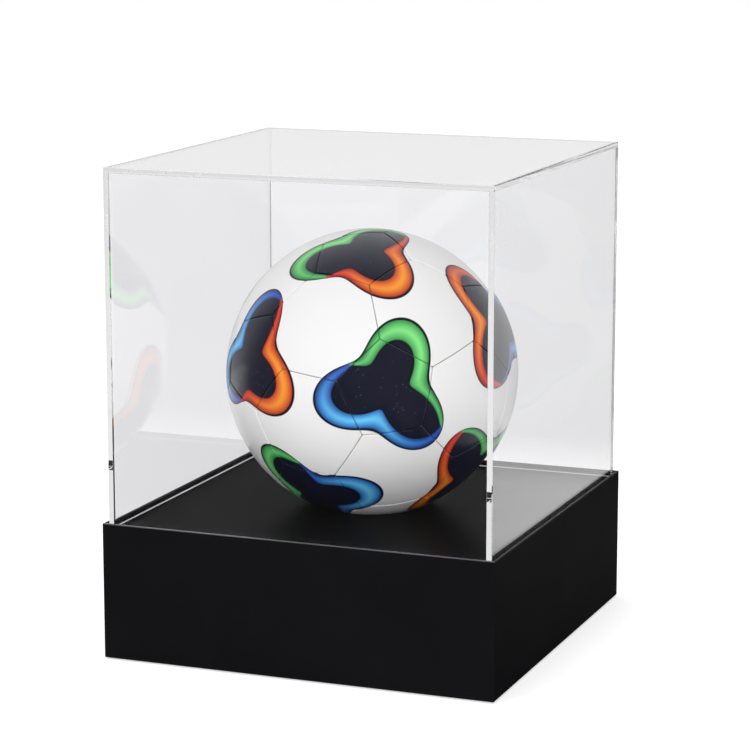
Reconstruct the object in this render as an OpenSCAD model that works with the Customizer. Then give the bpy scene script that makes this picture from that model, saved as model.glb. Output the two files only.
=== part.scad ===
// Football display case: a black acrylic plinth with a recessed deck, a clear
// five-sided cover that drops inside the plinth's lip, and the football that sits
// in a round seat cut through the deck.
// Millimetres, +Z up, the front faces -Y. The origin is the centre of the
// footprint, on the surface that the feet stand on.

/* [Football] */
// Diameter of the football, size 5
ball_d = 220; // [210:1:226]
// Thickness of the cover panels of the football, with their foam backing
panel_t = 2.0; // [1.6:0.1:3]
// Thickness of the fabric carcass under the panels
carcass_t = 1.5; // [1:0.1:2.5]
// Thickness of the rubber bladder
bladder_t = 0.6; // [0.5:0.1:1.5]
// Width of the seam between two cover panels
seam_w = 0.8; // [0.4:0.1:1.5]
// Thickness of the glue line between one layer of the football and the next
glue_t = 0.1; // [0.05:0.05:0.3]
// Diameter of the valve's face in the cover panel
valve_d = 6; // [5:0.5:8]
// Length of the valve's stem inside the bladder
valve_stem = 14; // [8:1:20]
// Diameter of the valve's flange inside the bladder
flange_d = 24; // [16:1:30]
// Thickness of the valve's flange
flange_t = 1.2; // [0.8:0.1:2]
// Gap round the valve in the layers that it passes through
valve_gap = 0.2; // [0.1:0.05:0.4]
// Diameter of the hole that the inflating needle goes through
needle_d = 1.2; // [1:0.1:1.6]
// Tilt of the football, degrees about X
ball_tilt = 24; // [-90:1:90]
// Turn of the football, degrees about Z
ball_turn = 12; // [-180:1:180]

/* [Clear cover] */
// Outside width of the cover
cover_w = 300; // [290:1:340]
// Outside depth of the cover
cover_d = 300; // [290:1:340]
// Height of the cover from the deck to its top
cover_h = 269; // [260:1:320]
// Thickness of the clear sheet
cover_t = 4; // [3:0.5:6]
// Broken edge on the outside corners of the cover
cover_arris = 0.5; // [0.2:0.1:1]
// Cement line between one clear panel and the next
cement_t = 0.1; // [0.05:0.05:0.2]
// Gap between the cover's lower edges and the deck that they stand on
rest_gap = 0.1; // [0.05:0.05:0.3]

/* [Plinth] */
// Height of the plinth's lip above the table
base_h = 104; // [80:1:140]
// Thickness of the plinth's side panels
base_t = 3; // [3:0.5:6]
// Height of the lip above the deck
lip_h = 4; // [2:0.5:8]
// Thickness of the deck
deck_t = 4; // [3:0.5:8]
// Gap between the cover and the lip, on each side
cover_gap = 0.75; // [0.3:0.05:2]
// Broken edge on the outside of the plinth
base_arris = 0.5; // [0.2:0.1:1]
// Chamfer along the inside of the lip, which leads the cover in
lead_in = 0.8; // [0.3:0.1:1.5]
// Diameter of the ball seat's rim on the deck's top face
seat_rim_d = 85; // [70:1:100]
// Gap between the football and its seat
seat_gap = 0.3; // [0.1:0.05:0.5]

/* [Inside the plinth] */
// Side of the square strips that carry the deck
strip_w = 8; // [6:1:12]
// Side of the square corner blocks
block_w = 22; // [18:1:30]
// Height of the corner blocks
block_h = 26; // [22:1:40]
// Broken corner of a corner block, on the side that faces the middle
block_arris = 6; // [2:1:8]
// Thickness of the bottom panel
bottom_t = 3; // [3:0.5:6]
// Gap between the bottom panel and the side panels
bottom_gap = 0.5; // [0.2:0.1:1]

/* [Screws] */
// Diameter of a screw's thread
screw_d = 3.5; // [3:0.5:4]
// Diameter of a screw's countersunk head
screw_head_d = 7; // [6:0.5:8]
// Length of a screw, head included
screw_l = 18; // [14:1:22]
// Width of the cross recess's arms
recess_w = 1; // [0.8:0.1:1.2]
// Depth of the cross recess
recess_depth = 1.2; // [0.8:0.1:1.5]
// Gap round a screw's shank in the bottom panel
shank_gap = 0.25; // [0.1:0.05:0.5]
// Gap between a screw's thread and the block that it is driven into
thread_gap = 0.05; // [0.02:0.01:0.1]
// Depth of a block's hole past the tip of its screw
hole_spare = 2; // [1:0.5:3]

/* [Feet] */
// Diameter of a rubber foot
foot_d = 20; // [12:1:30]
// Thickness of a rubber foot
foot_t = 2.5; // [2:0.5:5]
// Height of the side panels' lower edges above the table
foot_drop = 1; // [0.5:0.25:2]
// Distance from the outside of the plinth to a foot's centre
foot_inset = 45; // [35:1:70]
// Rounding of a foot's lower edge
foot_round = 0.8; // [0.3:0.1:1]

/* [Hidden] */
$fn = 96;
eps = 0.01; // overlap that keeps a cut clean where it leaves a solid

side_names = ["front", "right", "back", "left"];
corner_names = ["front_left", "front_right", "back_right", "back_left"];

// The plinth is worked out from the cover that drops into it.
well_w = cover_w + 2 * cover_gap;
well_d = cover_d + 2 * cover_gap;
base_w = well_w + 2 * base_t;
base_d = well_d + 2 * base_t;
deck_z = base_h - lip_h;
deck_low_z = deck_z - deck_t;
bottom_z = foot_t;
block_z = bottom_z + bottom_t;

// The football rests on the rim of its seat.
ball_r = ball_d / 2;
seat_r = ball_r + seat_gap;
ball_z = deck_z + sqrt(seat_r * seat_r - pow(seat_rim_d / 2, 2));
carcass_r = ball_r - panel_t - glue_t;
bladder_r = carcass_r - carcass_t - glue_t;
// The seat's throat keeps a land under the rim, a third of the deck deep.
seat_land = deck_t / 3;
throat_r = sqrt(seat_r * seat_r - pow(ball_z - deck_z + seat_land, 2));

// The cover's walls stand between the deck and the underside of its top.
top_h = cover_h - cover_t;
wall_h = top_h - cement_t - rest_gap;

screw_head_h = (screw_head_d - screw_d) / 2;
screw_x = well_w / 2 - block_w / 2;
screw_y = well_d / 2 - block_w / 2;
foot_x = base_w / 2 - foot_inset;
foot_y = base_d / 2 - foot_inset;

// A football of 20 hexagons and 12 pentagons is a truncated icosahedron that is
// blown up to a sphere: a hexagon lies on each face and a pentagon on each corner.
golden = (1 + sqrt(5)) / 2;
ico_edge = 2;
ico_corners = [for (s = [-1, 1], t = [-1, 1])
    each [[0, s, t * golden], [s, t * golden, 0], [t * golden, 0, s]]];
ico_faces = [for (i = [0:9]) for (j = [i + 1:10]) for (k = [j + 1:11])
    if (joined(i, j) && joined(j, k) && joined(i, k)) [i, j, k]];
// This turn brings one corner straight above the centre, and another level with +X.
upright = [atan(1 / golden), 0, 18];
// The hexagon with the valve, at the back on the left
valve_hexagon = 8;

function unit(v) = v / norm(v);
function joined(i, j) = norm(ico_corners[i] - ico_corners[j]) < ico_edge * 1.01;
function neighbour(i) = [for (j = [0:11]) if (j != i && joined(i, j)) j][0];

// Direction v turned by angle a about a unit axis
function turned(v, axis, a) =
    v * cos(a) + cross(axis, v) * sin(a) + axis * (axis * v) * (1 - cos(a));

// The four corners of a w by d rectangle, from the front left, anticlockwise
function corners(w, d) = [[-w / 2, -d / 2], [w / 2, -d / 2], [w / 2, d / 2], [-w / 2, d / 2]];

// Outline of a w by h rectangle with its corners broken by e
function eased(w, h, e) = [
    [-w / 2 + e, 0], [w / 2 - e, 0], [w / 2, e], [w / 2, h - e],
    [w / 2 - e, h], [-w / 2 + e, h], [-w / 2, h - e], [-w / 2, e]];

// A block that stands on z = 0, with every outside edge broken by e
module eased_block(w, d, h, e) {
    intersection() {
        translate([0, -d / 2, 0]) linear_extrude(h) polygon(eased(w, d, e));
        translate([0, d / 2, 0]) rotate([90, 0, 0]) linear_extrude(d) polygon(eased(w, h, e));
        translate([-w / 2, 0, 0]) rotate([90, 0, 90]) linear_extrude(w) polygon(eased(d, h, e));
    }
}

// A block that grows by c on every side from its lower face to its upper one
module flared_block(w, d, c) {
    function flare(width) = [
        [-width / 2, 0], [width / 2, 0], [width / 2 + c, c], [-width / 2 - c, c]];
    intersection() {
        translate([0, d / 2 + c, 0]) rotate([90, 0, 0])
            linear_extrude(d + 2 * c) polygon(flare(w));
        translate([-w / 2 - c, 0, 0]) rotate([90, 0, 90])
            linear_extrude(w + 2 * c) polygon(flare(d));
    }
}

// ---- Plinth ----

// The plinth's four sides in one ring, before the mitres part them
module side_ring() {
    difference() {
        translate([0, 0, foot_drop])
            eased_block(base_w, base_d, base_h - foot_drop, base_arris);
        translate([-well_w / 2, -well_d / 2, foot_drop - eps])
            cube([well_w, well_d, base_h - foot_drop + 2 * eps]);
        translate([0, 0, base_h - lead_in])
            flared_block(well_w, well_d, lead_in + eps);
    }
}

// One side panel, mitred at both ends, so that no joint shows on a face
module base_side(i) {
    outer = corners(base_w, base_d);
    inner = corners(well_w, well_d);
    j = (i + 1) % 4;
    color([0.07, 0.07, 0.075]) intersection() {
        side_ring();
        linear_extrude(base_h) polygon([outer[i], outer[j], inner[j], inner[i]]);
    }
}

// The deck is recessed below the lip, and its seat is ground to the ball's curve.
module deck_panel() {
    color([0.09, 0.09, 0.1]) difference() {
        translate([-well_w / 2, -well_d / 2, deck_low_z]) cube([well_w, well_d, deck_t]);
        translate([0, 0, ball_z]) sphere(seat_r);
        translate([0, 0, deck_low_z - eps]) cylinder(h = deck_t, r = throat_r);
    }
}

// Square strips under the deck: the front and back ones run the full width, and
// the left and right ones lie between them.
module deck_strip(i) {
    along_x = i % 2 == 0;
    length = along_x ? well_w : well_d - 2 * strip_w;
    reach = (along_x ? well_d : well_w) / 2;
    color([0.16, 0.16, 0.17]) rotate([0, 0, 90 * i])
        translate([-length / 2, -reach, deck_low_z - strip_w])
            cube([length, strip_w, strip_w]);
}

// A block is bonded into each corner and takes one screw of the bottom panel.
module corner_block(i) {
    place = corners(2 * screw_x, 2 * screw_y)[i];
    side = block_w / 2;
    color([0.16, 0.16, 0.17]) translate([place[0], place[1], block_z]) difference() {
        rotate([0, 0, 90 * i]) linear_extrude(block_h) polygon([
            [-side, -side], [side, -side], [side, side - block_arris],
            [side - block_arris, side], [-side, side]]);
        translate([0, 0, -eps])
            cylinder(h = screw_l - bottom_t + hole_spare + eps, d = screw_d + 2 * thread_gap);
    }
}

module screw_places() {
    for (p = corners(2 * screw_x, 2 * screw_y)) translate([p[0], p[1], bottom_z]) children();
}

// The head's cone, wider by gap all round than the head itself
module screw_cone(gap) {
    cylinder(h = screw_head_h, r1 = screw_head_d / 2 + gap, r2 = screw_d / 2 + gap);
}

module bottom_panel() {
    w = well_w - 2 * bottom_gap;
    d = well_d - 2 * bottom_gap;
    color([0.12, 0.12, 0.125]) difference() {
        translate([-w / 2, -d / 2, bottom_z]) cube([w, d, bottom_t]);
        screw_places() {
            translate([0, 0, -eps]) cylinder(h = bottom_t + 2 * eps, d = screw_d + 2 * shank_gap);
            screw_cone(shank_gap);
        }
    }
}

module bottom_screws() {
    color("silver") screw_places() difference() {
        union() {
            screw_cone(0);
            cylinder(h = screw_l, d = screw_d);
        }
        for (a = [0, 90]) rotate([0, 0, a])
            translate([-screw_d / 2, -recess_w / 2, -eps])
                cube([screw_d, recess_w, recess_depth + eps]);
    }
}

module foot(i) {
    place = corners(2 * foot_x, 2 * foot_y)[i];
    r = foot_d / 2;
    color([0.2, 0.2, 0.2]) translate([place[0], place[1], 0]) rotate_extrude() union() {
        translate([0, foot_round]) square([r, foot_t - foot_round]);
        square([r - foot_round, foot_t]);
        translate([r - foot_round, foot_round]) circle(foot_round);
    }
}

// ---- Clear cover ----

// The cover's outside, from the deck up; each panel is cut from it, so the broken
// edges come where the panels meet the outside.
module cover_slab(size, at) {
    color([0.85, 0.9, 0.95, 0.35]) translate([0, 0, deck_z]) intersection() {
        translate([0, 0, rest_gap])
            eased_block(cover_w, cover_d, cover_h - rest_gap, cover_arris);
        translate(at) cube(size);
    }
}

// Left and right panels run the full depth, and take the front and back between them.
module cover_side(sign) {
    x = sign < 0 ? -cover_w / 2 : cover_w / 2 - cover_t;
    cover_slab([cover_t, cover_d, wall_h], [x, -cover_d / 2, rest_gap]);
}

module cover_face(sign) {
    w = cover_w - 2 * (cover_t + cement_t);
    y = sign < 0 ? -cover_d / 2 : cover_d / 2 - cover_t;
    cover_slab([w, cover_t, wall_h], [-w / 2, y, rest_gap]);
}

module cover_top() {
    cover_slab([cover_w, cover_d, cover_t], [-cover_w / 2, -cover_d / 2, top_h]);
}

// ---- Football ----

module ball_place() {
    translate([0, 0, ball_z]) rotate([ball_tilt, 0, ball_turn]) rotate(upright) children();
}

module shell(outer_r, thickness) {
    difference() {
        sphere(outer_r);
        sphere(outer_r - thickness);
    }
}

// A pyramid from the ball's centre through one panel's corners. The panel is
// regular, and half a seam is left free along each of its sides.
module panel_pyramid(centre, corner, sides) {
    outward = unit(corner - (corner * centre) * centre);
    corner_angle = acos(corner * centre);
    side_angle = atan(tan(corner_angle) * cos(180 / sides)) - (seam_w / 2 / ball_r) * 180 / PI;
    free_angle = atan(tan(side_angle) / cos(180 / sides));
    free_corner = centre * cos(free_angle) + outward * sin(free_angle);
    rim = [for (k = [0:sides - 1]) ball_d * turned(free_corner, centre, -360 * k / sides)];
    polyhedron(
        points = concat([[0, 0, 0]], rim),
        faces = concat(
            [for (k = [0:sides - 1]) [0, (k + 1) % sides + 1, k + 1]],
            [[for (k = [1:sides]) k]]));
}

module panel_piece(centre, corner, sides) {
    intersection() {
        shell(ball_r, panel_t);
        panel_pyramid(centre, corner, sides);
    }
}

function face_centre(f) = unit(ico_corners[f[0]] + ico_corners[f[1]] + ico_corners[f[2]]);
valve_axis = face_centre(ico_faces[valve_hexagon]);
valve_turn = [0, acos(valve_axis[2]), atan2(valve_axis[1], valve_axis[0])];

// The hole that the valve passes through, up from the football's centre
module valve_hole() {
    cylinder(h = ball_d, d = valve_d + 2 * valve_gap);
}

module ball_hexagon_panels() {
    color("white") ball_place() for (f = ico_faces) difference() {
        panel_piece(face_centre(f), unit(2 * ico_corners[f[0]] + ico_corners[f[1]]), 6);
        if (f == ico_faces[valve_hexagon]) rotate(valve_turn) valve_hole();
    }
}

module ball_pentagon_panels() {
    color([0.1, 0.08, 0.28]) ball_place() for (i = [0:11])
        panel_piece(
            unit(ico_corners[i]),
            unit(2 * ico_corners[i] + ico_corners[neighbour(i)]), 5);
}

// A layer under the panels, with its pole where the valve passes through it
module lining(outer_r, thickness) {
    ball_place() rotate(valve_turn) difference() {
        shell(outer_r, thickness);
        valve_hole();
    }
}

module ball_carcass() {
    color("tan") lining(carcass_r, carcass_t);
}

module ball_bladder() {
    color("dimgray") lining(bladder_r, bladder_t);
}

// The valve's face is flush with the panel, its flange is bonded inside the bladder
// and its stem hangs from the flange.
module ball_valve() {
    inner_r = bladder_r - bladder_t - glue_t;
    color("black") ball_place() rotate(valve_turn) difference() {
        union() {
            intersection() {
                translate([0, 0, inner_r - flange_t]) cylinder(h = ball_r, d = valve_d);
                sphere(ball_r);
            }
            intersection() {
                shell(inner_r, flange_t);
                cylinder(h = ball_r, d = flange_d);
            }
            translate([0, 0, inner_r - valve_stem])
                cylinder(h = valve_stem - flange_t / 2, d = valve_d);
        }
        cylinder(h = ball_d, d = needle_d);
    }
}

for (i = [0:3]) {
    base_side(i);
    deck_strip(i);
    corner_block(i);
    foot(i);
}
deck_panel();
bottom_panel();
bottom_screws();
cover_face(-1);  // cover_front_panel
cover_side(1);  // cover_right_panel
cover_face(1);  // cover_back_panel
cover_side(-1);  // cover_left_panel
cover_top();  // cover_top_panel
ball_hexagon_panels();
ball_pentagon_panels();
ball_carcass();
ball_bladder();
ball_valve();
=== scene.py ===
from math import acos, atan, cos, pi, radians, sin

import bpy
from mathutils import Euler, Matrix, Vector


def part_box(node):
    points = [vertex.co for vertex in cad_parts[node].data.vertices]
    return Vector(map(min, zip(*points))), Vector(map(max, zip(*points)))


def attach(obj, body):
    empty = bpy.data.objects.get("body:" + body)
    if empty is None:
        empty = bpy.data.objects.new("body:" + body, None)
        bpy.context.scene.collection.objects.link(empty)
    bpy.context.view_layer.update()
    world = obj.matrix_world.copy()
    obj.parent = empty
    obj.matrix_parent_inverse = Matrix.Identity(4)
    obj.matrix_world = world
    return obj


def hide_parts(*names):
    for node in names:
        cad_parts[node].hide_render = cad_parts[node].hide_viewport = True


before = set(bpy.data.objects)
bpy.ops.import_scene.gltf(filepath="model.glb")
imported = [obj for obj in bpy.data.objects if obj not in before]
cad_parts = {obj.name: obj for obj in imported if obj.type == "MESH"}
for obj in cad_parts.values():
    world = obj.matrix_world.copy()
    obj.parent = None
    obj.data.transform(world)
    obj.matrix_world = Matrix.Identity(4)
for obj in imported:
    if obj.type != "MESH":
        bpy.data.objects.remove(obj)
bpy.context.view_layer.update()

bl_info = {
    "name": "Football display case",
    "version": (1, 0, 0),
    "blender": (4, 5, 0),
    "location": "View3D > Sidebar > Display Case",
    "description": "Finishes the plinth, the clear cover and the football of a display case",
    "category": "Object",
}

MM = 0.001

SIDES = ("front", "right", "back", "left")
CORNERS = ("front_left", "front_right", "back_right", "back_left")
PLINTH_SIDES = [f"base_{side}_panel" for side in SIDES]
DECK_STRIPS = [f"deck_strip_{side}" for side in SIDES]
CORNER_BLOCKS = [f"corner_block_{corner}" for corner in CORNERS]
FEET = [f"foot_{corner}" for corner in CORNERS]
COVER_PANELS = [f"cover_{side}_panel" for side in (*SIDES, "top")]

CARCASS_LOW, CARCASS_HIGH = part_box("ball_carcass")
BALL_CENTRE = (CARCASS_LOW + CARCASS_HIGH) / 2


# ---- Sizes and colours that a user would change ----


class FootballSettings(bpy.types.PropertyGroup):
    """The football's panels and print"""

    radius: bpy.props.FloatProperty(
        name="Radius", description="Outside radius of the football",
        default=110 * MM, min=0.1, max=0.115, unit="LENGTH")
    panel_thickness: bpy.props.FloatProperty(
        name="Panel thickness", description="Thickness of a cover panel",
        default=2 * MM, min=0.001, max=0.004, unit="LENGTH")
    seam_width: bpy.props.FloatProperty(
        name="Seam width", description="Gap between two panels, under their rounded edges",
        default=0.3 * MM, min=0.0001, max=0.001, unit="LENGTH")
    edge_rounding: bpy.props.FloatProperty(
        name="Edge rounding", description="Width of the rounded edge of a panel",
        default=0.9 * MM, min=0.0002, max=0.002, unit="LENGTH")
    tilt: bpy.props.FloatProperty(
        name="Tilt", description="Tilt of the football about X",
        default=radians(24), subtype="ANGLE")
    turn: bpy.props.FloatProperty(
        name="Turn", description="Turn of the football about Z",
        default=radians(12), subtype="ANGLE")
    rosette_radius: bpy.props.FloatProperty(
        name="Rosette radius", description="Mean radius of the print round a pentagon",
        default=44.5 * MM, min=0.02, max=0.055, unit="LENGTH")
    lobe_depth: bpy.props.FloatProperty(
        name="Lobe depth", description="How far a lobe stands out, as a share of the radius",
        default=0.27, min=0, max=0.4)
    crescent_width: bpy.props.FloatProperty(
        name="Crescent width", description="Width of a coloured crescent where it is widest",
        default=20 * MM, min=0.002, max=0.03, unit="LENGTH")
    white: bpy.props.FloatVectorProperty(
        name="White", description="Colour of the unprinted panels",
        default=(0.86, 0.855, 0.84), size=3, subtype="COLOR", min=0, max=1)
    navy: bpy.props.FloatVectorProperty(
        name="Navy", description="Colour of the printed patches",
        default=(0.0040, 0.0045, 0.019), size=3, subtype="COLOR", min=0, max=1)
    speck: bpy.props.FloatVectorProperty(
        name="Speck", description="Colour of the small specks in the patches",
        default=(0.10, 0.15, 0.28), size=3, subtype="COLOR", min=0, max=1)
    outline: bpy.props.FloatVectorProperty(
        name="Outline", description="Colour of the thin line beside a ribbon",
        default=(0.002, 0.0025, 0.006), size=3, subtype="COLOR", min=0, max=1)


class AcrylicSettings(bpy.types.PropertyGroup):
    """The clear cover and the black plinth"""

    bend: bpy.props.FloatProperty(
        name="Index of refraction", description="Index of refraction of the clear sheet",
        default=1.49, min=1.3, max=1.6)
    clear: bpy.props.FloatVectorProperty(
        name="Clear tint", description="Tint of the clear sheet",
        default=(0.984, 0.982, 0.992), size=3, subtype="COLOR", min=0, max=1)
    black: bpy.props.FloatVectorProperty(
        name="Black", description="Colour of the plinth",
        default=(0.0052, 0.0052, 0.0058), size=3, subtype="COLOR", min=0, max=1)


class StageSettings(bpy.types.PropertyGroup):
    """Camera, floor and lights"""

    azimuth: bpy.props.FloatProperty(
        name="Azimuth", description="How far the camera stands to the right of the front",
        default=radians(21.28), subtype="ANGLE")
    elevation: bpy.props.FloatProperty(
        name="Elevation", description="How far the camera looks down",
        default=radians(11.0), subtype="ANGLE")
    distance: bpy.props.FloatProperty(
        name="Distance", description="Distance from the camera to the point it looks at",
        default=1.9628, min=0.5, unit="LENGTH")
    aim: bpy.props.FloatVectorProperty(
        name="Aim", description="Point that the camera looks at",
        default=(0.0634, -0.1540, 0.2315), size=3, subtype="TRANSLATION", unit="LENGTH")
    lens: bpy.props.FloatProperty(
        name="Lens", description="Focal length on a 36 mm sensor, in millimetres",
        default=133.66, min=20)
    light: bpy.props.FloatProperty(
        name="Room light", description="Strength of the even light in the room",
        default=0.72, min=0)
    top_power: bpy.props.FloatProperty(
        name="Top lamp", description="Power of the soft lamp above",
        default=9.5, min=0, unit="POWER")
    front_power: bpy.props.FloatProperty(
        name="Front lamp", description="Power of the soft lamp at the front left",
        default=3, min=0, unit="POWER")
    camera_power: bpy.props.FloatProperty(
        name="Camera lamp", description="Power of the wide lamp behind the camera",
        default=30, min=0, unit="POWER")
    low_power: bpy.props.FloatProperty(
        name="Low lamp", description="Power of the low lamp before the case",
        default=10, min=0, unit="POWER")
    floor_glow: bpy.props.FloatProperty(
        name="Floor glow",
        description="Added to the floor where it is seen directly, so that it is white",
        default=0.45, min=0)
    near_glow: bpy.props.FloatProperty(
        name="Near floor glow", description="Floor glow close by, seen through the cover",
        default=0.20, min=0)
    far_glow: bpy.props.FloatProperty(
        name="Far floor glow", description="Floor glow far off, seen through the cover",
        default=0.335, min=0)
    guided_glow: bpy.props.FloatProperty(
        name="Floor glow in the edges", description="Floor glow, seen along a clear sheet",
        default=0.08, min=0)
    backdrop_behind: bpy.props.FloatProperty(
        name="Backdrop behind the cover",
        description="Brightness of the backdrop, seen through the cover",
        default=1.0, min=0)
    backdrop_guided: bpy.props.FloatProperty(
        name="Backdrop in the edges",
        description="Brightness of the backdrop, seen along a clear sheet",
        default=0.82, min=0)
    front_room: bpy.props.FloatProperty(
        name="Front room", description="Brightness of the room before the case, seen in gloss",
        default=0.04, min=0)
    backdrop: bpy.props.FloatProperty(
        name="Backdrop", description="Brightness of the backdrop, seen in gloss",
        default=0.84, min=0)
    near_backdrop: bpy.props.FloatProperty(
        name="Near backdrop",
        description="Brightness of the floor just behind the case, seen in gloss",
        default=1.15, min=0)
    far_backdrop: bpy.props.FloatProperty(
        name="Far backdrop",
        description="Brightness of the floor far behind the case, seen in gloss",
        default=0.5, min=0)


def settings(name):
    return getattr(bpy.context.scene, "case_" + name)


# ---- Helpers ----


def deselect():
    if bpy.context.object is not None and bpy.context.object.mode != "OBJECT":
        bpy.ops.object.mode_set(mode="OBJECT")
    bpy.ops.object.select_all(action="DESELECT")


def pick(piece):
    """Selects one piece alone and makes it active."""
    deselect()
    bpy.context.view_layer.objects.active = piece
    piece.select_set(True)


def apply_modifier(piece, kind, **values):
    pick(piece)
    bpy.ops.object.modifier_add(type=kind)
    modifier = piece.modifiers[-1]
    for name, value in values.items():
        setattr(modifier, name, value)
    bpy.ops.object.modifier_apply(modifier=modifier.name)


def paint(piece, material):
    piece.data.materials.clear()
    piece.data.materials.append(material)


def new_material(name):
    material = bpy.data.materials.new(name)
    material.use_nodes = True
    material.node_tree.nodes.clear()
    return material, material.node_tree


def feed(tree, socket, value):
    """Links a socket to the value, or sets it where the value is plain."""
    if isinstance(value, bpy.types.NodeSocket):
        tree.links.new(value, socket)
    else:
        socket.default_value = value


def add_node(tree, kind, inputs=None, **values):
    """One node, with its plain settings as keywords and its sockets in a dictionary."""
    node = tree.nodes.new(kind)
    for name, value in values.items():
        setattr(node, name, value)
    for name, value in (inputs or {}).items():
        feed(tree, node.inputs[name], value)
    return node


def maths(tree, operation, *values):
    node = add_node(tree, "ShaderNodeMath", dict(enumerate(values)), operation=operation)
    return node.outputs[0]


def mix(tree, kind, share, low, high):
    """From low where share is 0 to high where it is 1, as numbers (FLOAT) or colours (RGBA)."""
    node = add_node(tree, "ShaderNodeMix", data_type=kind)
    sockets = {socket.name: socket for socket in node.inputs if socket.enabled}
    feed(tree, sockets["Factor"], share)
    feed(tree, sockets["A"], low)
    feed(tree, sockets["B"], high)
    return [socket for socket in node.outputs if socket.enabled][0]


def blend(tree, share, low, high):
    return mix(tree, "FLOAT", share, low, high)


def mix_colour(tree, share, low, high):
    """The colours are sockets, or plain ones of three numbers."""
    low, high = (
        colour if isinstance(colour, bpy.types.NodeSocket) else (*colour, 1)
        for colour in (low, high))
    return mix(tree, "RGBA", share, low, high)


def object_coordinates(tree):
    return tree.nodes.new("ShaderNodeTexCoord").outputs["Object"]


def noise(tree, where, size, detail):
    """Noise whose lumps are about size metres across."""
    node = add_node(tree, "ShaderNodeTexNoise", {
        "Vector": where, "Scale": 1 / size, "Detail": detail, "Roughness": 0.5})
    return node.outputs["Fac"]


def remap(tree, value, low, high, to_low=0.0, to_high=1.0):
    node = add_node(tree, "ShaderNodeMapRange", {
        "Value": value, "From Min": low, "From Max": high, "To Min": to_low, "To Max": to_high})
    return node.outputs["Result"]


def vary(tree, lumps, to_low=0.0, to_high=1.0):
    """Spreads a noise, which lies mostly from 0.3 to 0.7, over a range."""
    return remap(tree, lumps, 0.3, 0.7, to_low, to_high)


def sight(tree):
    """Shares for what a ray has met: no matt surface, one mirroring, several, and nothing at all."""
    path = tree.nodes.new("ShaderNodeLightPath").outputs
    straight = maths(tree, "LESS_THAN", path["Diffuse Depth"], 0.5)
    mirrored = maths(tree, "COMPARE", path["Glossy Depth"], 1.0, 0.5)
    guided = maths(tree, "GREATER_THAN", path["Glossy Depth"], 1.5)
    return straight, mirrored, guided, path["Is Camera Ray"]


def bump(tree, height, depth, strength):
    node = add_node(tree, "ShaderNodeBump", {
        "Height": height, "Distance": depth, "Strength": strength})
    return node.outputs["Normal"]


def show(tree, shader, kind="ShaderNodeOutputMaterial"):
    """Puts a shader on the output of its material or world."""
    add_node(tree, kind, {"Surface": shader.outputs[0]})


def finish(tree, inputs):
    """A Principled shader that is the whole material."""
    show(tree, add_node(tree, "ShaderNodeBsdfPrincipled", inputs))


# ---- Materials ----


def black_acrylic(name, sheen, edge_sheen, level=1.0, painted_highlight_level=1.0):
    """Matt black sheet with its own sheen, and its own gloss on the faces that point up. Those faces
    take the black times a level; above 1 that is a painted highlight, a light line along the top edge.
    """
    material, tree = new_material(name)
    where = object_coordinates(tree)
    cloud = noise(tree, where, 60 * MM, 4)
    grain = noise(tree, where, 0.5 * MM, 2)
    black = [channel * level for channel in settings("acrylic").black]
    paler = [channel * 1.25 for channel in black]
    # Colour of the faces that point up: with a level above 1 it is a painted highlight, not a finish
    # of the sheet.
    top_with_painted_highlight = [channel * painted_highlight_level for channel in black]
    facing = tree.nodes.new("ShaderNodeNewGeometry").outputs["Normal"]
    upward = add_node(tree, "ShaderNodeSeparateXYZ", {"Vector": facing}).outputs["Z"]
    # Share of each face that points up, where the painted highlight and the extra gloss go.
    edge = remap(tree, upward, 0.5, 0.9)
    finish(tree, {
        "Base Color": mix_colour(
            tree, edge, mix_colour(tree, vary(tree, cloud), black, paler), top_with_painted_highlight),
        "Roughness": vary(tree, cloud, 0.5, 0.6),
        "Specular IOR Level": 0.0,
        "Coat Weight": sheen if sheen == edge_sheen else blend(tree, edge, sheen, edge_sheen),
        "Coat Roughness": 0.25,
        "Normal": bump(tree, grain, 0.01 * MM, 0.3),
    })
    return material


def clear_acrylic():
    """Polished clear sheet. Lamps reach what is behind it."""
    material, tree = new_material("clear_acrylic")
    own = settings("acrylic")
    glass = add_node(tree, "ShaderNodeBsdfPrincipled", {
        "Base Color": (*own.clear, 1),
        "Roughness": 0.0,
        "IOR": own.bend,
        "Transmission Weight": 1.0,
    })
    unbent = add_node(tree, "ShaderNodeBsdfTransparent", {"Color": (0.95, 0.95, 0.953, 1)})
    path = tree.nodes.new("ShaderNodeLightPath").outputs
    soft = maths(tree, "MAXIMUM", path["Is Shadow Ray"], path["Is Diffuse Ray"])
    show(tree, add_node(tree, "ShaderNodeMixShader", {
        0: soft, 1: glass.outputs[0], 2: unbent.outputs[0]}))
    return material


# Across a crescent, from 0 at its outer edge to 1 at its inner one, past which the patch lies
OUTER_LINE = (0.10, 0.13)  # where the outer outline gives way to the crescent's colour
INNER_LINE = (0.90, 0.93)  # and where the colour gives way to the inner outline
RIDGE = 0.52  # the middle of the bright stripe
RIDGE_FADE = (0.04, 0.38)  # how far from there it begins and ends to fade


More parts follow.
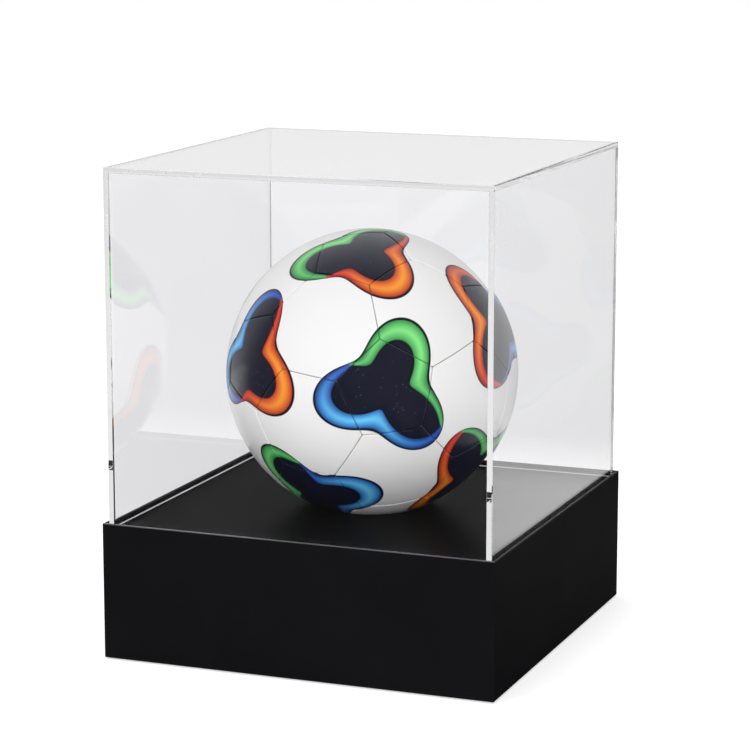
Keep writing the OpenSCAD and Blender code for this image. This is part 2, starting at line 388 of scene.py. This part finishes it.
def printed_panel():
    """Glossy panel skin: white, with the printed crescents round dark, speckled patches."""
    material, tree = new_material("printed_panel")
    own = settings("football")
    where = object_coordinates(tree)
    across, hue, deep = (
        add_node(tree, "ShaderNodeAttribute", attribute_name=name).outputs[output]
        for name, output in (
            ("ribbon_across", "Fac"), ("ribbon_hue", "Color"), ("ribbon_deep", "Color")))
    from_ridge = maths(tree, "ABSOLUTE", maths(tree, "SUBTRACT", across, RIDGE))
    ribbon = mix_colour(tree, remap(tree, from_ridge, *RIDGE_FADE, 1, 0), deep, hue)
    in_ribbon = maths(
        tree, "MULTIPLY", remap(tree, across, *OUTER_LINE), remap(tree, across, *INNER_LINE, 1, 0))
    cells = add_node(tree, "ShaderNodeTexVoronoi", {
        "Vector": where, "Scale": 1 / (3.5 * MM), "Randomness": 1.0})
    speck = remap(tree, cells.outputs["Distance"], 0.10, 0.17, 0.55, 0)
    fewer = remap(tree, noise(tree, where, 9 * MM, 2), 0.48, 0.58)
    patch = mix_colour(tree, maths(tree, "MULTIPLY", speck, fewer), own.navy, own.speck)
    ink = mix_colour(tree, remap(tree, across, 1.0, 1.1), own.outline, patch)
    ink = mix_colour(tree, in_ribbon, ink, ribbon)
    fibre = noise(tree, where, 1.2 * MM, 2)
    white = mix_colour(
        tree, remap(tree, fibre, 0.35, 0.65),
        own.white, [channel * 0.985 for channel in own.white])
    finish(tree, {
        "Base Color": mix_colour(tree, remap(tree, across, -0.015, 0.015), white, ink),
        "Roughness": vary(tree, noise(tree, where, 25 * MM, 3), 0.30, 0.38),
        "IOR": 1.5,
        "Coat Weight": 0.35,
        "Coat Roughness": 0.12,
        "Normal": bump(tree, fibre, 0.05 * MM, 0.35),
    })
    return material


def plain_stuff(name, colour, roughness, grain_size, grain_depth, metallic=0.0):
    """Rubber, fabric or metal for the small pieces and the inner ones."""
    material, tree = new_material(name)
    grain = noise(tree, object_coordinates(tree), grain_size, 3)
    finish(tree, {
        "Base Color": mix_colour(
            tree, vary(tree, grain), colour, [channel * 0.85 for channel in colour]),
        "Roughness": vary(tree, grain, roughness - 0.05, roughness + 0.05),
        "Metallic": metallic,
        "Normal": bump(tree, grain, grain_depth, 0.5),
    })
    return material


# ---- Football ----

RING_LATITUDE = atan(0.5)  # of the two rings of five pentagons, above and below the middle
PANEL_CUTS = 23  # per edge, fine enough for a smooth print
PANEL_EDGE = radians(40)  # a fold sharper than this is a panel's edge
SMOOTH_BELOW = radians(35)
LOBES = 3
TURN_STEP = radians(137.5)  # each patch is turned by this against the one before
THIN_END = 0.12  # a crescent's width at its thin ends, as a share of its full width
TAPER = 0.7  # below 1, so that a crescent stays broad until near its ends
# Each crescent's bright middle and deep edge, at its fat part and at its thin ends
CRESCENTS = {
    "orange": (
        ((0.95, 0.32, 0.02), (0.56, 0.035, 0.01)),
        ((0.70, 0.035, 0.015), (0.30, 0.008, 0.006))),
    "blue": (
        ((0.12, 0.58, 0.93), (0.01, 0.11, 0.46)),
        ((0.015, 0.09, 0.48), (0.006, 0.02, 0.15))),
    "green": (
        ((0.22, 0.78, 0.22), (0.04, 0.34, 0.08)),
        ((0.09, 0.50, 0.13), (0.015, 0.16, 0.05))),
}
PAIRS = (("orange", "blue"), ("blue", "green"), ("green", "orange"))


def ball_spin():
    own = settings("football")
    return Euler((own.tilt, 0, own.turn)).to_matrix()


def pentagon_directions():
    """From the ball's centre to each pentagon: two poles and two rings of five."""
    ways = [(-pi / 2, 0)]
    ways += [(-RING_LATITUDE, radians(36 + 72 * k)) for k in range(5)]
    ways += [(RING_LATITUDE, radians(72 * k)) for k in range(5)]
    ways += [(pi / 2, 0)]
    return [Vector((cos(lat) * cos(lon), cos(lat) * sin(lon), sin(lat))) for lat, lon in ways]


def add_panels(name, sides):
    """The ball's panels with that number of sides, as separate shells with rounded edges."""
    own = settings("football")
    deselect()
    bpy.ops.mesh.primitive_ico_sphere_add(subdivisions=1, radius=own.radius, location=(0, 0, 0))
    piece = bpy.context.object
    piece.name = name
    bpy.ops.object.mode_set(mode="EDIT")
    bpy.ops.mesh.select_mode(type="FACE")
    bpy.ops.mesh.select_all(action="SELECT")
    # A third off every corner turns the 20 triangles into hexagons.
    bpy.ops.mesh.bevel(affect="VERTICES", offset_type="PERCENT", offset_pct=100 / 3)
    bpy.ops.mesh.select_all(action="DESELECT")
    bpy.ops.mesh.select_face_by_sides(number=sides, type="NOTEQUAL")
    bpy.ops.mesh.delete(type="FACE")
    bpy.ops.mesh.select_all(action="SELECT")
    bpy.ops.mesh.inset(thickness=own.seam_width / 2, use_individual=True, use_even_offset=True)
    bpy.ops.mesh.select_all(action="INVERT")
    bpy.ops.mesh.delete(type="FACE")
    bpy.ops.mesh.select_all(action="SELECT")
    bpy.ops.mesh.poke()
    bpy.ops.mesh.subdivide(number_cuts=PANEL_CUTS)
    bpy.ops.object.mode_set(mode="OBJECT")
    apply_modifier(piece, "CAST", cast_type="SPHERE", factor=1.0, size=own.radius,
                   use_radius_as_size=False)
    apply_modifier(piece, "SOLIDIFY", thickness=own.panel_thickness, offset=-1.0)
    apply_modifier(piece, "BEVEL", width=own.edge_rounding, segments=3, limit_method="ANGLE",
                   angle_limit=PANEL_EDGE)
    piece.rotation_euler = (own.tilt, 0, own.turn)
    piece.location = BALL_CENTRE
    pick(piece)
    bpy.ops.object.transform_apply(location=True, rotation=True, scale=True)
    bpy.ops.object.shade_smooth_by_angle(angle=SMOOTH_BELOW)
    return piece


def print_ribbons(piece):
    """Stores, at each point, how far across the nearest crescent it is, and its two colours."""
    own = settings("football")
    spin = ball_spin()
    ways = [spin @ way for way in pentagon_directions()]
    frames = []
    for way in ways:
        near = max((other for other in ways if other is not way), key=way.dot)
        east = (near - near.dot(way) * way).normalized()
        frames.append((way, east, way.cross(east)))
    across = piece.data.attributes.new("ribbon_across", "FLOAT", "POINT")
    hue = piece.data.attributes.new("ribbon_hue", "FLOAT_COLOR", "POINT")
    deep = piece.data.attributes.new("ribbon_deep", "FLOAT_COLOR", "POINT")
    for i, vertex in enumerate(piece.data.vertices):
        out = (vertex.co - BALL_CENTRE).normalized()
        k = max(range(len(frames)), key=lambda j: frames[j][0].dot(out))
        way, east, north = frames[k]
        reach = own.radius * acos(min(1, way.dot(out)))
        flat = Vector((out.dot(east), out.dot(north)))
        angle = 0 if flat.length < 1e-6 else Vector((1, 0)).angle_signed(flat)
        outer = own.rosette_radius * (1 + own.lobe_depth * cos(LOBES * angle - TURN_STEP * k))
        lean = cos(angle - TURN_STEP * k)
        width = own.crescent_width * (THIN_END + (1 - THIN_END) * abs(lean) ** TAPER)
        across.data[i].value = max(-1, min(2, (outer - reach) / width))
        fat, thin = CRESCENTS[PAIRS[k % len(PAIRS)][0 if lean > 0 else 1]]
        for attribute, j in ((hue, 0), (deep, 1)):
            mixed = [t + (f - t) * lean * lean for f, t in zip(fat[j], thin[j])]
            attribute.data[i].color = (*mixed, 1)


# ---- Operators ----


class CASE_OT_plinth(bpy.types.Operator):
    """Finish the plinth's side panels, the deck and the bottom panel"""

    bl_idname = "case.plinth"
    bl_label = "Finish the plinth"

    def execute(self, context):
        side = black_acrylic("plinth_sheet", 0.02, 0.4)
        # The front panel's top edge is painted 20 times lighter than the black: a painted highlight,
        # the light line along the lip.
        front = black_acrylic("plinth_front_sheet", 0.02, 1.0, painted_highlight_level=20.0)
        deck = black_acrylic("deck_sheet", 0.1, 0.1)
        bottom = black_acrylic("bottom_sheet", 0.1, 0.1, 2.0)
        strip = black_acrylic("strip_sheet", 0.1, 0.1, 3.0)
        for name in PLINTH_SIDES:
            paint(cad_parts[name], front if "front" in name else side)
        paint(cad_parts["deck_panel"], deck)
        paint(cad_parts["bottom_panel"], bottom)
        for name in DECK_STRIPS + CORNER_BLOCKS:
            paint(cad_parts[name], strip)
        return {"FINISHED"}


class CASE_OT_cover(bpy.types.Operator):
    """Finish the clear cover's five panels"""

    bl_idname = "case.cover"
    bl_label = "Finish the clear cover"

    def execute(self, context):
        clear = clear_acrylic()
        for name in COVER_PANELS:
            paint(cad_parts[name], clear)
        return {"FINISHED"}


class CASE_OT_football(bpy.types.Operator):
    """Make the football's hexagons and pentagons and print them"""

    bl_idname = "case.football"
    bl_label = "Make the football's panels"

    def execute(self, context):
        skin = printed_panel()
        for name, sides, node, slot in (
                ("football_hexagons", 6, "ball_hexagon_panels", "ball_white"),
                ("football_pentagons", 5, "ball_pentagon_panels", "ball_navy")):
            piece = add_panels(name, sides)
            print_ribbons(piece)
            paint(piece, skin)
            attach(piece, "ball")
            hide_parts(node)
        return {"FINISHED"}


class CASE_OT_small_pieces(bpy.types.Operator):
    """Finish the feet, the screws and the football's lining, bladder and valve"""

    bl_idname = "case.small_pieces"
    bl_label = "Finish the small pieces"

    def execute(self, context):
        rubber = plain_stuff("foot_rubber", [0.03, 0.03, 0.03], 0.7, 1 * MM, 0.05 * MM)
        steel = plain_stuff("screw_steel", [0.62, 0.63, 0.65], 0.3, 0.4 * MM, 0.01 * MM, 1.0)
        fabric = plain_stuff("carcass_fabric", [0.30, 0.28, 0.24], 0.8, 0.8 * MM, 0.1 * MM)
        bladder = plain_stuff("bladder_rubber", [0.05, 0.05, 0.05], 0.6, 2 * MM, 0.05 * MM)
        for name in FEET:
            paint(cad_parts[name], rubber)
        paint(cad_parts["bottom_screws"], steel)
        paint(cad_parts["ball_carcass"], fabric)
        paint(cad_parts["ball_bladder"], bladder)
        paint(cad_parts["ball_valve"], rubber)
        return {"FINISHED"}


EDGE_BOUNCES = 64  # the clear edges carry light by many reflections
FLOOR_WIDTH = 12
FLOOR_GREY = (0.9, 0.9, 0.9, 1)
GLOW_REACH = (0.5, 3.0)  # the floor's glow changes between these distances from the centre
ROOM_TURNS = (-0.1, 0.3)  # the floor's gloss goes from dim front to bright back over this Y
ROOM_FADES = (0.5, 0.72)  # and darkens again over this one
SKY_TURNS = (-0.2, 0.5)  # the backdrop's does so over this Y of its direction
LAMPS_AIM = Vector((0, 0, 0.2))
SENSOR_WIDTH = 36  # mm


class CASE_OT_stage(bpy.types.Operator):
    """Set up the floor, the lights and the camera"""

    bl_idname = "case.stage"
    bl_label = "Set up the stage"

    def execute(self, context):
        own = settings("stage")
        self.floor(own)
        self.room(own)
        self.lamps(own)
        self.camera(own)
        context.scene.view_settings.view_transform = "Standard"
        cycles = context.scene.cycles
        cycles.max_bounces = cycles.glossy_bounces = cycles.transmission_bounces = EDGE_BOUNCES
        return {"FINISHED"}

    def floor(self, own):
        """A pale floor that keeps the shadow, bright in gloss behind the case and dim before it."""
        deselect()
        bpy.ops.mesh.primitive_plane_add(size=FLOOR_WIDTH, location=(0, 0, 0))
        plane = bpy.context.object
        plane.name = "floor"
        material, tree = new_material("pale_floor")
        where = object_coordinates(tree)
        straight, mirrored, guided, direct = sight(tree)
        away = add_node(tree, "ShaderNodeVectorMath", {0: where}, operation="LENGTH")
        through = remap(tree, away.outputs["Value"], *GLOW_REACH, own.near_glow, own.far_glow)
        seen = blend(tree, direct, blend(tree, guided, through, own.guided_glow), own.floor_glow)
        diffuse = add_node(tree, "ShaderNodeBsdfDiffuse", {"Color": FLOOR_GREY})
        glow = add_node(tree, "ShaderNodeEmission", {
            "Color": (1, 1, 1, 1), "Strength": maths(tree, "MULTIPLY", straight, seen)})
        lit = add_node(tree, "ShaderNodeAddShader", {0: diffuse.outputs[0], 1: glow.outputs[0]})
        along = add_node(tree, "ShaderNodeSeparateXYZ", {"Vector": where}).outputs["Y"]
        behind = remap(tree, along, *ROOM_TURNS)
        far = remap(tree, along, *ROOM_FADES, own.near_backdrop, own.far_backdrop)
        room = add_node(tree, "ShaderNodeEmission", {
            "Strength": maths(tree, "ADD", own.front_room, maths(tree, "MULTIPLY", behind, far))})
        show(tree, add_node(tree, "ShaderNodeMixShader", {
            0: maths(tree, "MULTIPLY", straight, mirrored),
            1: lit.outputs[0], 2: room.outputs[0]}))
        paint(plane, material)

    def room(self, own):
        """A white backdrop, an even light, and for gloss a dim room before the case."""
        world = bpy.data.worlds.new("studio")
        bpy.context.scene.world = world
        world.use_nodes = True
        tree = world.node_tree
        tree.nodes.clear()
        way = tree.nodes.new("ShaderNodeTexCoord").outputs["Generated"]
        along = add_node(tree, "ShaderNodeSeparateXYZ", {"Vector": way}).outputs["Y"]
        straight, mirrored, guided, direct = sight(tree)
        room = remap(tree, along, *SKY_TURNS, own.front_room, own.backdrop)
        behind = blend(tree, guided, own.backdrop_behind, own.backdrop_guided)
        seen = blend(tree, mirrored, blend(tree, direct, behind, 1.0), room)
        background = add_node(tree, "ShaderNodeBackground", {
            "Color": (1, 1, 1, 1), "Strength": blend(tree, straight, own.light, seen)})
        show(tree, background, "ShaderNodeOutputWorld")

    def lamps(self, own):
        """Soft lamps. The two wide ones show in no gloss, because the clear roof would mirror them."""
        for name, place, size, power, in_gloss in (
                ("top_light", (-0.5, -0.6, 1.9), (1.6, 1.6), own.top_power, True),
                ("front_light", (-1.4, -2.4, 1.3), (1.2, 1.2), own.front_power, True),
                ("camera_light", (1.1, -2.7, 0.68), (3.0, 1.3), own.camera_power, False),
                ("low_light", (0.8, -2.0, 0.22), (2.4, 0.4), own.low_power, False)):
            deselect()
            bpy.ops.object.light_add(type="AREA", location=place)
            lamp = bpy.context.object
            lamp.name = name
            lamp.data.shape = "RECTANGLE"
            lamp.data.size, lamp.data.size_y = size
            lamp.visible_camera = lamp.visible_transmission = False
            lamp.visible_glossy = in_gloss
            lamp.data.energy = power
            toward = LAMPS_AIM - Vector(place)
            lamp.rotation_euler = toward.to_track_quat("-Z", "Y").to_euler()

    def camera(self, own):
        """A long lens, at the given bearing and distance from the point that it looks at."""
        back = Vector((
            sin(own.azimuth) * cos(own.elevation),
            -cos(own.azimuth) * cos(own.elevation),
            sin(own.elevation)))
        place = Vector(own.aim) + back * own.distance
        bpy.ops.object.camera_add(location=place)
        camera = bpy.context.object
        camera.name = "camera"
        camera.rotation_euler = (-back).to_track_quat("-Z", "Y").to_euler()
        camera.data.lens = own.lens
        camera.data.sensor_width = SENSOR_WIDTH
        camera.data.clip_end = 50
        bpy.context.scene.camera = camera


class CASE_PT_panel(bpy.types.Panel):
    """Lists the steps that make the display case"""

    bl_label = "Display Case"
    bl_idname = "CASE_PT_panel"
    bl_space_type = "VIEW_3D"
    bl_region_type = "UI"
    bl_category = "Display Case"

    def draw(self, context):
        for operator in OPERATORS:
            self.layout.operator(operator.bl_idname)


OPERATORS = (CASE_OT_plinth, CASE_OT_cover, CASE_OT_football, CASE_OT_small_pieces, CASE_OT_stage)
SETTINGS = {"football": FootballSettings, "acrylic": AcrylicSettings, "stage": StageSettings}
CLASSES = (*SETTINGS.values(), *OPERATORS, CASE_PT_panel)


def register():
    for cls in CLASSES:
        bpy.utils.register_class(cls)
    for name, group in SETTINGS.items():
        setattr(bpy.types.Scene, "case_" + name, bpy.props.PointerProperty(type=group))


def unregister():
    for name in SETTINGS:
        delattr(bpy.types.Scene, "case_" + name)
    for cls in reversed(CLASSES):
        bpy.utils.unregister_class(cls)


def main():
    register()
    bpy.ops.case.plinth()
    bpy.ops.case.cover()
    bpy.ops.case.football()
    bpy.ops.case.small_pieces()
    bpy.ops.case.stage()


if __name__ == "__main__":
    main()
